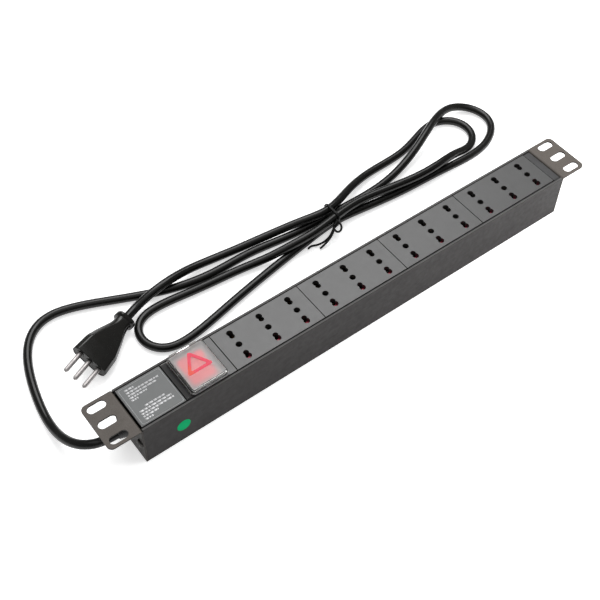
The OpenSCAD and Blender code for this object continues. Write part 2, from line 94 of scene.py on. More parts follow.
def add_camera():
    data = bpy.data.cameras.new("camera")
    data.lens = CAMERA_LENS
    data.sensor_width = 36
    data.clip_start = 0.02
    back = Vector((
        math.cos(CAMERA_ELEVATION) * math.sin(CAMERA_AZIMUTH),
        -math.cos(CAMERA_ELEVATION) * math.cos(CAMERA_AZIMUTH),
        math.sin(CAMERA_ELEVATION)))
    level = Vector((math.cos(CAMERA_AZIMUTH), math.sin(CAMERA_AZIMUTH), 0))
    upright = back.cross(level)
    right = level * math.cos(CAMERA_ROLL) + upright * math.sin(CAMERA_ROLL)
    up = back.cross(right)
    camera = bpy.data.objects.new("camera", data)
    camera.matrix_world = Matrix.Translation(CAMERA_TARGET + back * CAMERA_DISTANCE) @ Matrix(
        (right, up, back)).transposed().to_4x4()
    bpy.context.scene.collection.objects.link(camera)
    bpy.context.scene.camera = camera


add_camera()

# ---------------------------------------------------------------- mesh tools


def new_object(name, mesh):
    obj = bpy.data.objects.new(name, mesh)
    bpy.context.scene.collection.objects.link(obj)
    return obj


def mesh_object(name, verts, faces):
    mesh = bpy.data.meshes.new(name)
    mesh.from_pydata([tuple(v) for v in verts], [], faces)
    mesh.validate()
    mesh.shade_smooth()
    return new_object(name, mesh)


def sharpen(obj, degrees):
    obj.data.set_sharp_from_angle(angle=math.radians(degrees))
    return obj


def applied(obj):
    """Replaces an object's mesh with what its modifiers make of it."""
    graph = bpy.context.evaluated_depsgraph_get()
    mesh = bpy.data.meshes.new_from_object(obj.evaluated_get(graph))
    obj.modifiers.clear()
    obj.data = mesh
    return obj


def finish_piece(obj, body, slot, material, *stands_for):
    """Gives a piece its material and its body, and hides the CAD nodes it stands for. The slot it
    is passed is not used.
    """
    obj.data.materials.clear()
    obj.data.materials.append(material)
    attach(obj, body)
    if stands_for:
        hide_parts(*stands_for)
    return obj


def loft(name, rings, capped=(True, True), closed=False):
    """Joins rings of equally many points, in order. closed joins the last ring to the first."""
    n = len(rings[0])
    verts = [p for r in rings for p in r]
    faces = []
    for i in range(len(rings) if closed else len(rings) - 1):
        a, b = i * n, (i + 1) % len(rings) * n
        faces += [(a + k, a + (k + 1) % n, b + (k + 1) % n, b + k) for k in range(n)]
    if capped[0]:
        faces.append(tuple(reversed(range(n))))
    if capped[1]:
        faces.append(tuple(range((len(rings) - 1) * n, len(rings) * n)))
    return mesh_object(name, verts, faces)


def spline(points, step):
    """Points along a cubic B-spline that starts and ends on the first and last of the points."""
    q = [2 * points[0] - points[1], *points, 2 * points[-1] - points[-2]]
    line = []
    for i in range(len(points) - 1):
        n = max(2, round((points[i + 1] - points[i]).length / step))
        for j in range(n):
            t = j / n
            line.append(((1 - t) ** 3 * q[i]
                         + (3 * t ** 3 - 6 * t * t + 4) * q[i + 1]
                         + (-3 * t ** 3 + 3 * t * t + 3 * t + 1) * q[i + 2]
                         + t ** 3 * q[i + 3]) / 6)
    return line + [points[-1]]


def tube(name, line, radius, sides=16, round_ends=False):
    """A tube along a line of points. radius is a number or a function of the length so far."""
    up = Vector((0, 0, 1))
    rings, length = [], 0
    for i, point in enumerate(line):
        if i:
            length += (point - line[i - 1]).length
        along = (line[min(i + 1, len(line) - 1)] - line[max(i - 1, 0)]).normalized()
        side = along.cross(up).normalized()
        up = side.cross(along)
        r = radius(length) if callable(radius) else radius
        ends = [(0, 1.0)]
        if round_ends and i == 0:
            ends = [(-1.0, 0.15), (-0.75, 0.66), (-0.4, 0.92), (0, 1.0)]
        if round_ends and i == len(line) - 1:
            ends = [(0, 1.0), (0.4, 0.92), (0.75, 0.66), (1.0, 0.15)]
        for out, size in ends:
            rings.append([point + along * out * r + size * r * (
                side * math.cos(a) + up * math.sin(a)) for a in turn(sides)])
    return loft(name, [list(reversed(r)) for r in rings])


def lathe(name, profile, sides=48):
    """Turns (along, radius) points about the X axis. A radius of 0 isn't used: ends are capped."""
    rings = [[Vector((x, r * math.cos(a), r * math.sin(a))) for a in turn(sides)]
             for x, r in profile]
    return loft(name, rings)


def turned(name, profile, sides=48):
    """lathe() of a profile in millimetres."""
    return lathe(name, [(x * MM, r * MM) for x, r in profile], sides)


def round_rect(width, depth, radius, steps=6):
    """Outline of an oblong around the origin, with rounded corners."""
    points = []
    for corner in range(4):
        sx, sy = ((1, 1), (-1, 1), (-1, -1), (1, -1))[corner]
        centre = Vector((sx * (width / 2 - radius), sy * (depth / 2 - radius)))
        for i in range(steps + 1):
            a = math.pi / 2 * (corner + i / steps)
            points.append(centre + radius * Vector((math.cos(a), math.sin(a))))
    return points


def joined(name, parts):
    """Joins objects into one with that name."""
    with bpy.context.temp_override(active_object=parts[0], selected_editable_objects=parts,
                                   object=parts[0], selected_objects=parts):
        bpy.ops.object.join()
    parts[0].name = name
    parts[0].data.name = name
    return parts[0]


def weighted(obj):
    """Lets the large faces set the shading, so that flat faces look flat beside rounded edges."""
    normals = obj.modifiers.new("normals", "WEIGHTED_NORMAL")
    normals.keep_sharp = True
    normals.weight = 100
    return applied(obj)


def softened(node, name, width, segments=2, smooth=35):
    """A copy of a CAD node's mesh with its edges rounded off."""
    obj = new_object(name, NODES[node].data.copy())
    bm = bmesh.new()
    bm.from_mesh(obj.data)
    bmesh.ops.remove_doubles(bm, verts=bm.verts, dist=2e-6)
    bmesh.ops.dissolve_limit(bm, angle_limit=math.radians(0.5), verts=bm.verts, edges=bm.edges)
    bm.to_mesh(obj.data)
    bm.free()
    bevel = obj.modifiers.new("edges", "BEVEL")
    bevel.width = width
    bevel.segments = segments
    bevel.limit_method = "ANGLE"
    bevel.angle_limit = math.radians(30)
    bevel.miter_outer = "MITER_ARC"
    obj.data.shade_smooth()
    sharpen(applied(obj), smooth)
    return weighted(obj)


# ---------------------------------------------------------------- materials


class Surface:
    """A material under construction: a Principled shader and the nodes that feed it."""

    def __init__(self, name, roughness=0.5, **inputs):
        self.material = bpy.data.materials.new(name)
        self.material.use_nodes = True
        self.tree = self.material.node_tree
        self.shader = self.tree.nodes["Principled BSDF"]
        self.shader.inputs["Roughness"].default_value = roughness
        for key, value in inputs.items():
            self.shader.inputs[key.replace("_", " ")].default_value = value
        self.coords = self.tree.nodes.new("ShaderNodeTexCoord").outputs["Object"]
        self.normal = None

    def link(self, a, b):
        self.tree.links.new(a, b)

    def stretched(self, scale):
        node = self.tree.nodes.new("ShaderNodeMapping")
        node.inputs["Scale"].default_value = scale
        self.link(self.coords, node.inputs["Vector"])
        return node.outputs["Vector"]

    def noise(self, size, detail=3.0, stretch=None, distortion=0.0):
        """Noise whose features are about that size in metres."""
        node = self.tree.nodes.new("ShaderNodeTexNoise")
        node.inputs["Scale"].default_value = 1 / size
        node.inputs["Detail"].default_value = detail
        node.inputs["Distortion"].default_value = distortion
        self.link(self.stretched(stretch) if stretch else self.coords, node.inputs["Vector"])
        return node.outputs["Fac"]

    def facing_up(self):
        """How far a face looks up, from its normal in the part's own frame."""
        coords = self.tree.nodes.new("ShaderNodeTexCoord")
        parts = self.tree.nodes.new("ShaderNodeSeparateXYZ")
        self.link(coords.outputs["Normal"], parts.inputs["Vector"])
        return parts.outputs["Z"]

    def along(self, axis, scale):
        """The place along an axis of the part, in metres, times a scale."""
        parts = self.tree.nodes.new("ShaderNodeSeparateXYZ")
        self.link(self.stretched((scale,) * 3), parts.inputs["Vector"])
        return parts.outputs[axis]

    def cells(self, size):
        node = self.tree.nodes.new("ShaderNodeTexVoronoi")
        node.inputs["Scale"].default_value = 1 / size
        self.link(self.coords, node.inputs["Vector"])
        return node.outputs["Distance"]

    def ramp(self, value, *stops):
        """Maps a value through (position, colour or grey) stops."""
        node = self.tree.nodes.new("ShaderNodeValToRGB")
        elements = node.color_ramp.elements
        while len(elements) < len(stops):
            elements.new(0.5)
        for element, (position, colour) in zip(elements, stops):
            grey = isinstance(colour, (int, float))
            element.position = position
            element.color = (colour,) * 3 + (1,) if grey else (*colour, 1)
        self.link(value, node.inputs["Fac"])
        return node.outputs["Color"]

    def mix(self, value, a, b):
        """a where the value is 0 and b where it is 1. Both are sockets."""
        node = self.tree.nodes.new("ShaderNodeMix")
        node.data_type = "RGBA"
        self.link(value, node.inputs["Factor"])
        self.link(a, node.inputs[6])
        self.link(b, node.inputs[7])
        return node.outputs[2]

    def bump(self, height, depth, strength=1.0):
        node = self.tree.nodes.new("ShaderNodeBump")
        node.inputs["Strength"].default_value = strength
        node.inputs["Distance"].default_value = depth
        self.link(height, node.inputs["Height"])
        if self.normal:
            self.link(self.normal, node.inputs["Normal"])
        self.normal = node.outputs["Normal"]
        self.link(self.normal, self.shader.inputs["Normal"])

    def feed(self, socket, value):
        self.link(value, self.shader.inputs[socket])


def tint(colour, factor):
    return tuple(c * factor for c in colour)


def moulded(name, colour, roughness=0.5, grain=0.35 * MM, depth=0.02 * MM, specular=0.5,
            uneven=0.06, **inputs):
    """Moulded plastic: fine spark-eroded grain, uneven gloss and a slight drift of colour."""
    s = Surface(name, roughness, Specular_IOR_Level=specular, **inputs)
    broad = s.noise(22 * MM, 3)
    s.feed("Base Color", s.ramp(broad, (0.25, tint(colour, 0.88)), (0.75, tint(colour, 1.12))))
    patches = s.noise(5 * MM, 4)
    low, high = max(0.05, roughness - uneven), roughness + uneven
    s.feed("Roughness", s.ramp(patches, (0.3, low), (0.7, high)))
    s.bump(s.noise(grain, 2), depth)
    return s.material


def extruded_metal(name, colour, painted_sheen_colour, roughness):
    """Coated aluminium extrusion: die lines along X under a satin coat, with painted sheen: faces
    that look up get a paler colour for the light they catch.
    """
    s = Surface(name, roughness, Specular_IOR_Level=0.1)
    lines = s.noise(0.5 * MM, 3, stretch=(0.004, 1, 1))
    broad = s.noise(30 * MM, 3)
    plain = s.ramp(broad, (0.3, tint(colour, 0.9)), (0.7, tint(colour, 1.1)))
    lined = s.ramp(broad, (0.3, tint(colour, 1.02)), (0.7, tint(colour, 1.28)))
    coat = s.mix(s.ramp(lines, (0.4, 0.0), (0.66, 1.0)), plain, lined)
    # painted sheen: a paler colour on faces that look up, standing for the light that falls on them
    painted_sheen = s.ramp(broad, (0.3, tint(painted_sheen_colour, 0.92)), (0.7, tint(painted_sheen_colour, 1.08)))
    s.feed("Base Color", s.mix(s.ramp(s.facing_up(), (0.55, 0.0), (0.9, 1.0)), coat, painted_sheen))
    s.feed("Roughness",
           s.ramp(s.noise(4 * MM, 4), (0.3, roughness - 0.05), (0.7, roughness + 0.07)))
    s.bump(lines, 0.012 * MM)
    s.bump(s.noise(0.22 * MM, 2), 0.008 * MM)
    return s.material


def powder_coat(name, colour, roughness):
    """Fine-textured powder coat: closely packed soft bumps, with painted light and shade: faces
    that look up are painted paler and the other faces darker.
    """
    s = Surface(name, roughness, Specular_IOR_Level=0.14)
    grain = s.noise(0.45 * MM, 3)
    # painted light and shade: a lit copy of the colour for faces that look up and a shaded copy for
    # the rest
    painted_lit_top = s.ramp(grain, (0.35, tint(colour, 1.6)), (0.7, tint(colour, 2.15)))
    painted_shaded_sides = s.ramp(grain, (0.35, tint(colour, 0.3)), (0.7, tint(colour, 0.46)))
    s.feed("Base Color", s.mix(s.ramp(s.facing_up(), (0.3, 0.0), (0.85, 1.0)), painted_shaded_sides, painted_lit_top))
    s.feed("Roughness",
           s.ramp(s.noise(6 * MM, 3), (0.3, roughness - 0.06), (0.7, roughness + 0.08)))
    s.bump(grain, 0.035 * MM)
    return s.material


def bare_metal(name, colour, roughness, stretch=(1, 1, 1), grain=0.3 * MM):
    """Plated or brushed metal with fine scratches and cloudy gloss."""
    s = Surface(name, roughness, Metallic=1.0)
    scratches = s.noise(grain, 4, stretch=stretch)
    s.feed("Base Color", s.ramp(scratches, (0.3, tint(colour, 0.86)), (0.7, colour)))
    s.feed("Roughness", s.ramp(s.noise(2.5 * MM, 4), (0.3, roughness), (0.75, roughness + 0.18)))
    s.bump(scratches, 0.004 * MM)
    return s.material


def printed_film(name, colour, roughness, specular=0.5, coat=0.15):
    """Printed label film: almost smooth, with faint dots and a little curl in its gloss."""
    s = Surface(name, roughness, Specular_IOR_Level=specular, Coat_Weight=coat, Coat_Roughness=0.3)
    s.feed("Base Color",
           s.ramp(s.noise(9 * MM, 3), (0.3, tint(colour, 0.93)), (0.7, tint(colour, 1.07))))
    s.bump(s.noise(3 * MM, 2), 0.02 * MM)
    s.bump(s.cells(0.25 * MM), 0.003 * MM)
    return s.material


def banded(name, axis, scale, edge, below, above, roughness, specular):
    """Matte plastic with one colour below an edge along an axis and another above it."""
    s = Surface(name, roughness, Specular_IOR_Level=specular)
    s.feed("Base Color", s.ramp(s.along(axis, scale), (edge - 0.004, below), (edge + 0.004, above)))
    s.feed("Roughness",
           s.ramp(s.noise(5 * MM, 4), (0.3, roughness - 0.04), (0.7, roughness + 0.05)))
    s.bump(s.noise(0.35 * MM, 2), 0.01 * MM)
    return s.material


def cloudy_plastic(name, colour, roughness, transmission, haze):
    """Clear moulded plastic with a frosted inner face: part of the light passes, part scatters."""
    s = Surface(name, roughness, IOR=1.49, Transmission_Weight=transmission, Specular_IOR_Level=0.5)
    flow = s.noise(14 * MM, 3, stretch=(1, 0.35, 1), distortion=0.6)
    s.feed("Base Color", s.ramp(flow, (0.3, tint(colour, haze)), (0.7, colour)))
    s.bump(s.noise(6 * MM, 2), 0.05 * MM)
    return s.material


MATERIALS = {
    # housing_coat: the second colour is painted sheen for faces that look up
    "housing_coat": extruded_metal("housing_coat", (0.015, 0.0138, 0.0138),
                                   (0.078, 0.0765, 0.0755), 0.5),
    "liner": moulded("liner", (0.62, 0.6, 0.55), 0.6),
    # bracket_coat is painted paler on top and darker on its sides, as light and shade
    "bracket_coat": powder_coat("bracket_coat", (0.052, 0.046, 0.041), 0.5),
    "black_screw": bare_metal("black_screw", (0.06, 0.058, 0.055), 0.38),
    "dark_plastic": moulded("dark_plastic", (0.022, 0.022, 0.023), 0.5),
    "frame_plastic": banded("frame_plastic", "Y", 20, 0.371, (0.022, 0.021, 0.021),
                            (0.3, 0.29, 0.28), 0.65, 0.25),
    "pale_plastic": moulded("pale_plastic", (0.6, 0.59, 0.58), 0.45),
    "module_plastic": moulded("module_plastic", (0.036, 0.036, 0.036), 0.4, specular=0.55,
                              uneven=0.02),
    "label": printed_film("label", (0.05, 0.055, 0.055), 0.45),
    "white_print": printed_film("white_print", (0.55, 0.55, 0.56), 0.5),
    "border_print": printed_film("border_print", (0.33, 0.335, 0.335), 0.5),
    "green_label": printed_film("green_label", (0.0, 0.21, 0.075), 0.55, specular=0.03, coat=0.0),
    "clear_cover": cloudy_plastic("clear_cover", (0.9, 0.9, 0.89), 0.1, 0.97, 0.97),
    "frosted_cover": cloudy_plastic("frosted_cover", (0.73, 0.72, 0.71), 0.42, 0.89, 0.95),
    "mark_ink": banded("mark_ink", "X", -5, 0.797, (0.62, 0.035, 0.075),
                       (0.64, 0.06, 0.035), 0.45, 0.3),
    "bright_steel": bare_metal("bright_steel", (0.62, 0.62, 0.63), 0.25),
    "rocker_red": moulded("rocker_red", (0.8, 0.03, 0.04), 0.22, grain=0.8 * MM, depth=0.006 * MM,
                          Emission_Color=(1, 0.02, 0.06, 1), Emission_Strength=0.62),
    "lamp_glass": moulded("lamp_glass", (0.9, 0.45, 0.3), 0.12, depth=0.002 * MM,
                          Transmission_Weight=0.6),
    "contact_brass": bare_metal("contact_brass", (0.72, 0.46, 0.2), 0.3),
    "sleeve_plastic": moulded("sleeve_plastic", (0.04, 0.07, 0.2), 0.45),
    "shutter_red": moulded("shutter_red", (0.55, 0.01, 0.06), 0.35),
    "line_wire": moulded("line_wire", (0.18, 0.065, 0.02), 0.38),
    "neutral_wire": moulded("neutral_wire", (0.02, 0.08, 0.4), 0.38),
    "earth_wire": moulded("earth_wire", (0.12, 0.32, 0.03), 0.38),
    "gland_plastic": moulded("gland_plastic", (0.018, 0.018, 0.019), 0.42),
    "cord_jacket": moulded("cord_jacket", (0.004, 0.004, 0.0036), 0.22, grain=0.5 * MM,
                           depth=0.01 * MM, specular=0.27),
    "tie_plastic": moulded("tie_plastic", (0.004, 0.004, 0.004), 0.4, specular=0.15),
    "plug_plastic": moulded("plug_plastic", (0.004, 0.0038, 0.0028), 0.25, specular=0.42,
                            grain=0.5 * MM, depth=0.005 * MM, uneven=0.03),
    "nickel": bare_metal("nickel", (0.48, 0.455, 0.45), 0.48),
}

SLOT_OF = {part["node"]: part["material_slot"] for part in frame["record"]["subparts"]}
for node, cad_object in NODES.items():
    cad_object.data.materials.clear()
    cad_object.data.materials.append(MATERIALS[SLOT_OF[node]])
BODY_OF = {node: body for body, members in frame["record"]["behaviour"]["bodies"].items()
           for node in members}


def stand_in(node, obj):
    """Makes obj the finished piece of a CAD node, with the node's own body and material."""
    return finish_piece(obj, BODY_OF[node], SLOT_OF[node], MATERIALS[SLOT_OF[node]], node)


# ---------------------------------------------------------------- cord

CORD_DIAMETER = 7.6 * MM
PLUG_AT = (-162.5, 97.5, 9.2)
CORD_ROUTE = [mm(*p) for p in (
    (-203, 0, 22), (-222, 0, 22), (-241, 0, 22), (-254, 8, 20), (-261, 25, 12.5), (-262, 50, 3.9),
    (-257, 82, 3.9), (-243, 127, 3.9), (-212, 149, 3.9), (-160, 125, 3.9), (-112, 103.5, 3.9),
    (-72, 98, 3.9), (-35, 100.5, 3.9), (5, 93, 3.9), (46, 92.5, 5.6), (82, 92, 3.9),
    (120, 94.5, 3.9), (155, 104, 9), (182, 115.5, 14.5), (205, 127, 14), (230, 134.5, 8),
    (250, 122, 3.9), (253, 98.5, 3.9), (236, 81, 3.9), (208, 72, 3.9), (165, 76.5, 3.9),
    (125, 76.5, 3.9), (85, 80.5, 3.9), (46, 84.8, 5.6), (15, 80.5, 3.9), (-30, 73, 3.9),
    (-80, 63.5, 3.9), (-134, 50.5, 3.9), (-155, 57, 3.9), (-163.5, 75, 3.9), (-156, 92.5, 3.9),
    (-136, 98.5, 3.9), (-95, 92, 3.9), (-55, 89.5, 3.9), (-27, 83, 6.2), (-5, 78.5, 12.8),
    (20, 77.5, 13.5), (46, 82.3, 13.3), (74, 86, 12.4), (102, 82.5, 11.6), (143, 76, 12),
    (175, 78.5, 12.7), (192, 82.5, 7.5), (210, 81.5, 3.9), (227, 96, 3.9), (225, 118.5, 3.9),
    (205, 131, 3.9), (182, 125.5, 3.9), (152, 113.5, 3.9), (112, 114.5, 3.9), (80, 106, 8.5),
    (46, 89.5, 13.9), (22, 95, 13.6), (-10, 103.5, 7.5), (-50, 110, 3.9), (-86, 114, 6),
    (-112, 108.5, 13.5), (-134, 105.5, 12.5), (-149.5, 104, 7.5),
    PLUG_AT)]


def make_cord():
    line = spline(CORD_ROUTE, 3 * MM)
    cord = tube("mains_cord", line, CORD_DIAMETER / 2, 20)
    stand_in("power_cord", cord)


# ---------------------------------------------------------------- plug

PLUG_TURN = (-33, -6.6, 206.5)  # roll, pitch and heading in degrees
PLUG_LENGTH = 53.4
PRONG_LENGTH = 20.7
PRONG_RADIUS = 2.0
PRONG_PITCH = 9.5
PRONG_ROWS = (-1, 0, 1)


def plug_frame():
    """From the plug's own frame, its cord end at the origin and its pins along +X, to its place."""
    roll, pitch, heading = (math.radians(a) for a in PLUG_TURN)
    return (Matrix.Translation(mm(*PLUG_AT)) @ Matrix.Rotation(heading, 4, "Z")
            @ Matrix.Rotation(pitch, 4, "Y") @ Matrix.Rotation(roll, 4, "X"))


def plug_section(x, half_w, half_t, edge, radius):
    """Section of the plug at x: a flat-sided oblong with slanted edges, its corners rounded."""
    slant = 3
    flat = half_w - slant
    corners = [(half_w, edge * half_t), (flat, half_t), (-flat, half_t),
               (-half_w, edge * half_t), (-half_w, -edge * half_t), (-flat, -half_t),
               (flat, -half_t), (half_w, -edge * half_t)]
    points = []
    for i, corner in enumerate(corners):
        here = Vector(corner)
        before, after = Vector(corners[i - 1]) - here, Vector(corners[(i + 1) % 8]) - here
        reach = min(radius, before.length * 0.45, after.length * 0.45)
        a, b = here + before.normalized() * reach, here + after.normalized() * reach
        for t in (0, 0.25, 0.5, 0.75, 1):
            points.append((1 - t) ** 2 * a + 2 * t * (1 - t) * here + t * t * b)
    return [mm(x, p.x, p.y) for p in points]


def in_rows(name, profile):
    """Three turned pieces beside each other, one for each pin."""
    pieces = [turned(name, profile, 32) for _ in PRONG_ROWS]
    for row, piece in zip(PRONG_ROWS, pieces):
        piece.data.transform(Matrix.Translation(mm(0, row * PRONG_PITCH, 0)))
    return pieces


def make_plug():
    # along the plug, half width, half thickness, slant of the edges, corner radius
    sections = [(0.4, 5.2, 5.2, 0.45, 5), (0.5, 8.2, 7.4, 0.5, 6), (1.1, 9.0, 8.0, 0.5, 6),
                (3.2, 9.1, 8.0, 0.5, 6), (4.0, 8.5, 7.5, 0.5, 6), (4.7, 7.4, 6.6, 0.5, 5),
                (6.5, 7.0, 6.2, 0.5, 4), (10, 7.2, 6.1, 0.5, 2.4), (14, 8.1, 6.25, 0.5, 1.6),
                (18, 9.4, 6.45, 0.48, 1.2), (24, 11.5, 6.8, 0.47, 0.9), (30, 13.4, 7.15, 0.46, 0.8),
                (35.5, 15.0, 7.5, 0.45, 0.8), (37.2, 15.45, 7.6, 0.45, 0.8),
                (38.2, 15.6, 7.58, 0.45, 0.8), (39.5, 15.7, 7.4, 0.45, 0.8),
                (46, 16.15, 6.5, 0.45, 0.8), (52.3, 16.6, 5.6, 0.45, 0.8),
                (53.05, 16.4, 5.4, 0.45, 0.8), (53.4, 15.9, 4.9, 0.45, 0.8),
                (53.4, 15.1, 4.2, 0.45, 0.8), (53.1, 14.7, 3.9, 0.45, 0.8)]
    body = loft("moulded_plug", [plug_section(*s) for s in sections])
    collars = in_rows("collar", ((52.9, 3.4), (53.3, 3.4), (53.45, 3.2), (53.45, 2.3), (53.3, 2.1)))
    body = joined("moulded_plug", [body, *collars])
    body.data.transform(plug_frame())
    stand_in("plug_body", sharpen(body, 28))

    tip, r = PLUG_LENGTH + PRONG_LENGTH, PRONG_RADIUS
    prongs = joined("plug_prongs", in_rows("prong", (
        (PLUG_LENGTH - 1, r), (tip - 2.6, r), (tip - 1.6, r * 0.9), (tip - 0.8, r * 0.68),
        (tip - 0.25, r * 0.38), (tip, 0.2))))
    prongs.data.transform(plug_frame())
    stand_in("plug_pins", sharpen(prongs, 50))


# ---------------------------------------------------------------- tie

TIE_X = 46
# Y and Z of the middles of the cord's runs where the tie holds them
TIE_STRANDS = ((92.5, 5.05), (83.25, 5.05), (82.05, 13.2), (93.3, 12.95))


def hull_outline(centres, radius, steps=72):
    """Outline of a band drawn tight around circles of one radius."""
    points = []
    for a in turn(steps):
        out = Vector((math.cos(a), math.sin(a)))
        centre = max((Vector(c) for c in centres), key=lambda c: c.dot(out))
        points.append(centre + radius * out)
    return points


def make_tie():
    """A flat wire drawn around the bundle, its ends twisted together and left loose."""
    clear = 0.25
    half_width, half_thickness = 1.2, 0.5
    inner = CORD_DIAMETER / MM / 2 + clear
    section = [(half_width * math.cos(a), half_thickness * (1 + math.sin(a))) for a in turn(12)]
    levels = [hull_outline(TIE_STRANDS, inner + out) for _, out in section]
    rings = [[mm(TIE_X + along, level[k].x, level[k].y) for (along, _), level in
              zip(section, levels)] for k in range(len(levels[0]))]
    band = loft("band", rings, capped=(False, False), closed=True)

    wire_r, twist_r, half_turns, steps = 1.0, 1.2, 3.5, 24
    knot, knot_run = Vector((43.5, 76.2, 13.6)), Vector((-5, -1.6, -2))
    twist = []
    for phase in (0, math.pi):
        line = []
        for k in range(steps + 1):
            t = k / steps
            a = phase + t * half_turns * math.pi
            axis = knot + knot_run * t
            line.append((axis + twist_r * Vector((0, math.cos(a), math.sin(a)))) * MM)
        twist.append(tube("twist", line, wire_r * MM, 10, True))
    tails = [
        [(39.5, 75.4, 12.4), (42, 75.2, 13), (44.5, 73.5, 12.4), (43.5, 70, 11), (40, 67.6, 9.8),
         (36.8, 69, 9.6), (36.6, 73, 10.8), (38.5, 75.2, 11.6)],
        [(39, 75, 11.6), (36.5, 72.6, 10.2), (33, 70.2, 8.2), (26.5, 68.3, 4.8), (18.5, 68, 2)],
        [(38.8, 74.8, 11.4), (34, 71.8, 9.6), (29.5, 69.8, 7.4), (23, 70, 4.2), (17.5, 72.5, 2.2),
         (15, 74.8, 1.2), (12.5, 75.4, 1.1), (10, 74.6, 1.1)],
    ]
    loose = [tube("tail", spline([mm(*p) for p in tail], 0.8 * MM), wire_r * MM, 10, True)
             for tail in tails]
    tie = joined("wire_tie", [band, *twist, *loose])
    stand_in("twist_tie", sharpen(tie, 60))


# ---------------------------------------------------------------- strain relief


def make_gland():
    """Snap-in strain relief with a ribbed, tapered nose around the cord."""
    low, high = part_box("cord_gland")
    nose, end, collar_r = low.x / MM, high.x / MM, (high.y - low.y) / MM / 2
    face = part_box("housing")[0].x / MM - BRACKET_T
    rib_pitch, rib_growth = 1.45, 0.38
    bore = CORD_DIAMETER / MM / 2 + 0.1
    profile = [(nose, bore), (nose, 4.5), (nose + 0.2, 4.7)]
    for k in range(4):
        x, r = nose + 0.9 + rib_pitch * k, 4.85 + rib_growth * k
        profile += [(x, r), (x + 0.05, r - 0.55), (x + 0.65, r - 0.5), (x + 0.7, r + 0.14)]
    profile += [(face - 3.2, 6.5), (face - 3, 6.9), (face - 3, collar_r - 0.5),
                (face - 2.6, collar_r - 0.1), (face - 0.3, collar_r), (face, collar_r - 0.1),
                (face, 6.4), (face + 1.6, 6.4), (face + 1.6, 7.5), (face + 4.6, 7.3),
                (face + 5.5, 6.4), (end - 0.4, 5.1), (end, 4.8), (end, bore)]
    gland = turned("strain_relief", profile)
    bm = bmesh.new()
    bm.from_mesh(gland.data)
    caps = [f for f in bm.faces if len(f.verts) > 4]
    bmesh.ops.delete(bm, geom=caps, context="FACES_ONLY")
    edges = [e for e in bm.edges if e.is_boundary]
    bmesh.ops.bridge_loops(bm, edges=edges)
    bmesh.ops.recalc_face_normals(bm, faces=bm.faces)
    bm.to_mesh(gland.data)
    bm.free()
    gland.data.transform(Matrix.Translation(mm(0, 0, END_Z)))
    stand_in("cord_gland", sharpen(gland, 35))


make_plug()
make_tie()
make_gland()
make_cord()

# ---------------------------------------------------------------- housing, brackets, plates

for node, name, width in (
        ("housing", "channel", 0.22 * MM), ("bracket_left", "left_bracket", 0.28 * MM),
        ("bracket_right", "right_bracket", 0.28 * MM), ("end_stop", "end_block", 0.3 * MM),
        ("label_plate", "blank_plate", 0.25 * MM), ("switch_frame", "switch_plate", 0.25 * MM),
        ("switch_case", "switch_bezel", 0.3 * MM), ("rocker", "rocker_key", 0.45 * MM),
        ("cover_base", "cover_seat", 0.2 * MM)):
    stand_in(node, softened(node, name, width))
for m in range(1, 5):
    stand_in(f"outlet_face_{m}", softened(f"outlet_face_{m}", f"outlet_plate_{m}", 0.22 * MM))
for s in range(1, 13):
    stand_in(f"shutter_{s}", softened(f"shutter_{s}", f"shutter_wedge_{s}", 0.25 * MM))


def recess_arm(half_y, half_z):
    """One arm of a screw's cross recess, narrower at its bottom."""
    bottom, above, taper = 0.9, 3, 0.35
    corners = ((-half_y, -half_z), (half_y, -half_z), (half_y, half_z), (-half_y, half_z))
    return loft("cut", [[mm(x, y * size, z * size) for y, z in corners]
                        for x, size in ((bottom, taper), (above, 1))])


def make_screw():
    """A pan-head screw along X, with its head's seat at the origin."""
    head_r, head_h, shank_r, tip = 3.5, 2.2, 1.65, 11
    thread_turns, thread_pitch = 14, 0.7
    profile = [(-tip, 0.9), (1 - tip, 1.5)]
    for k in range(thread_turns):
        x = k * thread_pitch - tip
        profile += [(1.1 + x, shank_r - 0.3), (1.45 + x, shank_r)]
    profile += [(-0.05, shank_r - 0.1), (0, shank_r), (0, head_r - 0.1), (0.15, head_r),
                (1.1, head_r - 0.05), (1.6, head_r - 0.45), (1.95, head_r - 1.2),
                (2.12, head_r - 2.1), (head_h, 0.6)]
    screw = turned("screw", profile, 40)
    arms = [recess_arm(2.0, 0.5), recess_arm(0.5, 2.0)]
    for arm in arms:
        carve = screw.modifiers.new("recess", "BOOLEAN")
        carve.operation = "DIFFERENCE"
        carve.object = arm
        carve.solver = "EXACT"
        bpy.context.view_layer.update()
        applied(screw)
        bpy.data.objects.remove(arm)
    return screw


def make_screws():
    """Four screws, two in each end plate."""
    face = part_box("housing")[1].x / MM + BRACKET_T
    screws = []
    for end in (-1, 1):
        for side in (-1, 1):
            screw = make_screw()
            screw.data.transform(Matrix.Translation(mm(face, side * SCREW_Y, END_Z)))
            if end < 0:
                screw.data.transform(Matrix.Rotation(math.pi, 4, "Z"))
            screws.append(screw)
    stand_in("bracket_screws", sharpen(joined("end_screws", screws), 35))


make_screws()

# ---------------------------------------------------------------- labels and marks


def slab(name, outline, low, high, edge):
    """A flat piece with that XY outline in millimetres, its top edge rounded."""
    centre = sum(outline, Vector((0, 0))) / len(outline)

    def level(z, inset):
        ring = []
        for p in outline:
            inward = (centre - p).normalized()
            ring.append(mm(p.x + inward.x * inset, p.y + inward.y * inset, z))
        return ring

    return loft(name, [level(low, 0), level(high - edge, 0), level(high, edge)])


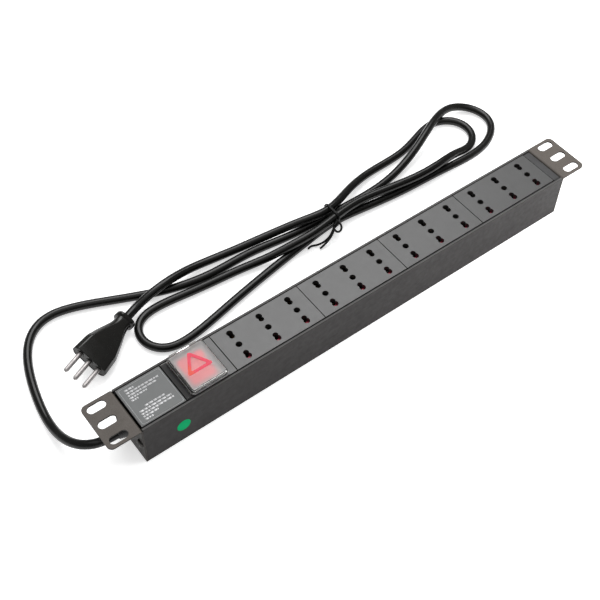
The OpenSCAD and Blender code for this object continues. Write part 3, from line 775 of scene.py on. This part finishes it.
def make_label():
    """The label's film, its border, and bars that stand for lines of print."""
    low, high = (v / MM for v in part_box("label_sticker"))
    middle = (low + high) / 2
    size = high - low
    outline = [Vector((middle.x + p.x, middle.y + p.y)) for p in round_rect(size.x, size.y, 2)]
    stand_in("label_sticker", sharpen(slab("label_film", outline, low.z, high.z - 0.05, 0.05), 30))

    print_low, print_high = high.z - 0.06, high.z
    margin, bar_height, word_gap, shortest = 4.6, 1.55, 0.4, 0.6
    rng = random.Random(11)
    bars = []

    def bar(x0, x1, y):
        y0, y1 = y - bar_height / 2, y + bar_height / 2
        corners = ((x0, y0), (x1, y0), (x1, y1), (x0, y1))
        bars.append(loft("bar", [[mm(*corner, z) for corner in corners]
                                 for z in (print_low, print_high)]))

    # y of a line of print, and where it starts and ends
    rows = [(14.9, 0, 8), (12.2, 0, 28.5), (9.6, 0, 25.5), (7.0, 0, 15), (4.5, 0, 6),
            (-4.6, 6, 24), (-7.3, 0, 27.5), (-9.9, 0, 28), (-12.4, 0, 13), (-15.0, 0, 7)]
    start = low.x + margin
    for y, indent, length in rows:
        x = start + indent
        end = start + length
        while x < end - shortest:
            word = min(rng.uniform(1.6, 4.2), end - x)
            bar(x, x + word, y)
            x += word + word_gap
    frame_out, frame_in = (round_rect(size.x - inset, size.y - inset, 1.6) for inset in (1.7, 2.2))
    border = loft("label_border", [[mm(middle.x + p.x, middle.y + p.y, z) for p in ring]
                                   for ring, z in ((frame_out, print_low), (frame_out, print_high),
                                                   (frame_in, print_high), (frame_in, print_low))],
                  capped=(False, False), closed=True)
    finish_piece(border, "strip", "label", MATERIALS["border_print"])
    finish_piece(joined("label_print", bars), "strip", "label", MATERIALS["white_print"])


def make_dot():
    low, high = (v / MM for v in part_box("green_dot"))
    middle = (low + high) / 2
    radius = (high.x - low.x) / 2
    thick = high.y - low.y
    dot = turned("green_sticker", (
        (0, radius), (thick * 0.6, radius), (thick, radius - 0.08), (thick, radius * 0.5),
        (thick, 0.3)), 64)
    dot.data.transform(Matrix.Translation(mm(middle.x, high.y, middle.z)) @ Matrix.Rotation(
        -math.pi / 2, 4, "Z"))
    stand_in("green_dot", sharpen(dot, 30))


def make_mark():
    """The printed red triangle, an outline with rounded corners."""
    low, high = (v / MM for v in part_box("cover_mark"))
    centre = Vector(((low.x + high.x) / 2, low.y + (high.y - low.y) / 3))

    def triangle(reach, radius):
        points = []
        for corner in (90, 210, 330):
            a = math.radians(corner)
            spot = centre + (reach - 2 * radius) * Vector((math.cos(a), math.sin(a)))
            for k in range(9):
                b = a + math.radians(-60 + 120 * k / 8)
                points.append(spot + radius * Vector((math.cos(b), math.sin(b))))
        return points

    top = high.z
    outer, inner = triangle(13.4, 1.5), triangle(8.2, 0.9)
    mark = loft("triangle_print", [[mm(p.x, p.y, z) for p in ring] for ring, z in (
        (outer, low.z), (outer, top), (inner, top), (inner, low.z))],
        capped=(False, False), closed=True)
    stand_in("cover_mark", sharpen(mark, 30))


make_label()
make_dot()
make_mark()

# ---------------------------------------------------------------- switch cover


def make_cover():
    """The clear shell with its hinge barrel, and the frosted window and rim set into it."""
    low, high = (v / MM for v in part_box("switch_cover"))
    front, back, wall = low.y, 18.6, 1.2
    width, depth = high.x - low.x, back - front
    middle = Vector(((low.x + high.x) / 2, (front + back) / 2))
    bottom, top = 46.1, high.z

    def level(inset, z, radius):
        return [mm(middle.x + p.x, middle.y + p.y, z) for p in round_rect(
            width - 2 * inset, depth - 2 * inset, radius)]

    def ring_of(name, levels):
        return loft(name, levels, capped=(False, False), closed=True)

    shell = ring_of("cover_shell", [
        level(0.75, bottom + 0.9, 2.2), level(0.75, top - 1.2, 2.2), level(0.85, top - 0.7, 2.1),
        level(1.1, top - 0.3, 2.0), level(1.5, top - 0.07, 1.8), level(1.9, top, 1.6),
        level(1.9, top - wall, 1.2), level(wall + 0.5, top - wall - 0.3, 1.2),
        level(wall + 0.4, bottom + 0.9, 1.4)])
    rim = ring_of("rim", [
        level(0.0, bottom, 2.6), level(0.0, bottom + 0.8, 2.6), level(0.15, bottom + 0.95, 2.5),
        level(0.74, bottom + 1.0, 2.2), level(0.74, bottom + 0.9, 2.2),
        level(wall + 0.4, bottom + 0.9, 1.4), level(wall, bottom, 1.4)])
    window = loft("window", [level(1.92, top - wall, 1.6), level(1.92, top - 0.02, 1.6),
                             level(2.0, top, 1.55)])
    frosted = joined("cover_window", [window, rim])
    finish_piece(sharpen(frosted, 40), "cover", "clear_cover", MATERIALS["frosted_cover"])
    barrel = turned("barrel", (
        (-5.6, 0.7), (-5.6, 1.1), (-5.4, 1.35), (5.4, 1.35), (5.6, 1.1), (5.6, 0.7)), 32)
    barrel.data.transform(Matrix.Translation(mm(middle.x, HINGE_Y, HINGE_Z)))
    arm_points = [(18.2, 46.4), (18.2, 47.9), (19.2, 47.9), (20.3, 47.7), (20.6, 46.6),
                  (19.8, 46.2)]
    arm = loft("arm", [[mm(middle.x + x, y, z) for y, z in arm_points] for x in (-5.5, 5.5)])
    cover = joined("cover_shell", [shell, barrel, arm])
    stand_in("switch_cover", sharpen(cover, 40))


make_cover()

# ---------------------------------------------------------------- stage


def add_stage():
    """A white paper floor, a hair below the part."""
    half, low = 3.0, CAD_BOX[0][2] - 0.2 * MM
    mesh = bpy.data.meshes.new("floor")
    corners = ((-half, -half), (half, -half), (half, half), (-half, half))
    mesh.from_pydata([(x, y, low) for x, y in corners], [], [(0, 1, 2, 3)])
    floor = new_object("floor", mesh)
    paper = bpy.data.materials.new("paper")
    paper.use_nodes = True
    shader = paper.node_tree.nodes["Principled BSDF"]
    shader.inputs["Base Color"].default_value = (0.93, 0.93, 0.93, 1)
    shader.inputs["Roughness"].default_value = 0.9
    shader.inputs["Specular IOR Level"].default_value = 0.1
    shader.inputs["Emission Color"].default_value = (1, 1, 1, 1)
    shader.inputs["Emission Strength"].default_value = 0.55
    mesh.materials.append(paper)


def add_softbox(name, location, target, size, power, glossy=True):
    """An area light. Where glossy is False it lights surfaces but isn't mirrored in them."""
    data = bpy.data.lights.new(name, "AREA")
    data.shape = "RECTANGLE"
    data.size, data.size_y = size
    data.energy = power
    light = bpy.data.objects.new(name, data)
    light.location = location
    light.rotation_euler = (Vector(target) - Vector(location)).to_track_quat("-Z", "Y").to_euler()
    light.visible_glossy = glossy
    bpy.context.scene.collection.objects.link(light)


def add_world():
    """Even white light from all round."""
    world = bpy.data.worlds.new("studio")
    world.use_nodes = True
    background = world.node_tree.nodes["Background"]
    background.inputs["Color"].default_value = (1, 1, 1, 1)
    background.inputs["Strength"].default_value = 0.3
    bpy.context.scene.world = world


add_stage()
add_world()
add_softbox("overhead", (-0.1, 0.0, 1.7), (0, 0, 0), (1.8, 1.8), 9)
add_softbox("behind", (0.42, 0.72, 1.35), (0, 0, 0), (1.2, 1.0), 20.5)
add_softbox("far_end", (0.55, -0.45, 0.13), (0.2, -0.02, 0.02), (0.35, 0.22), 9.5, glossy=False)
bpy.context.scene.view_settings.view_transform = "Standard"
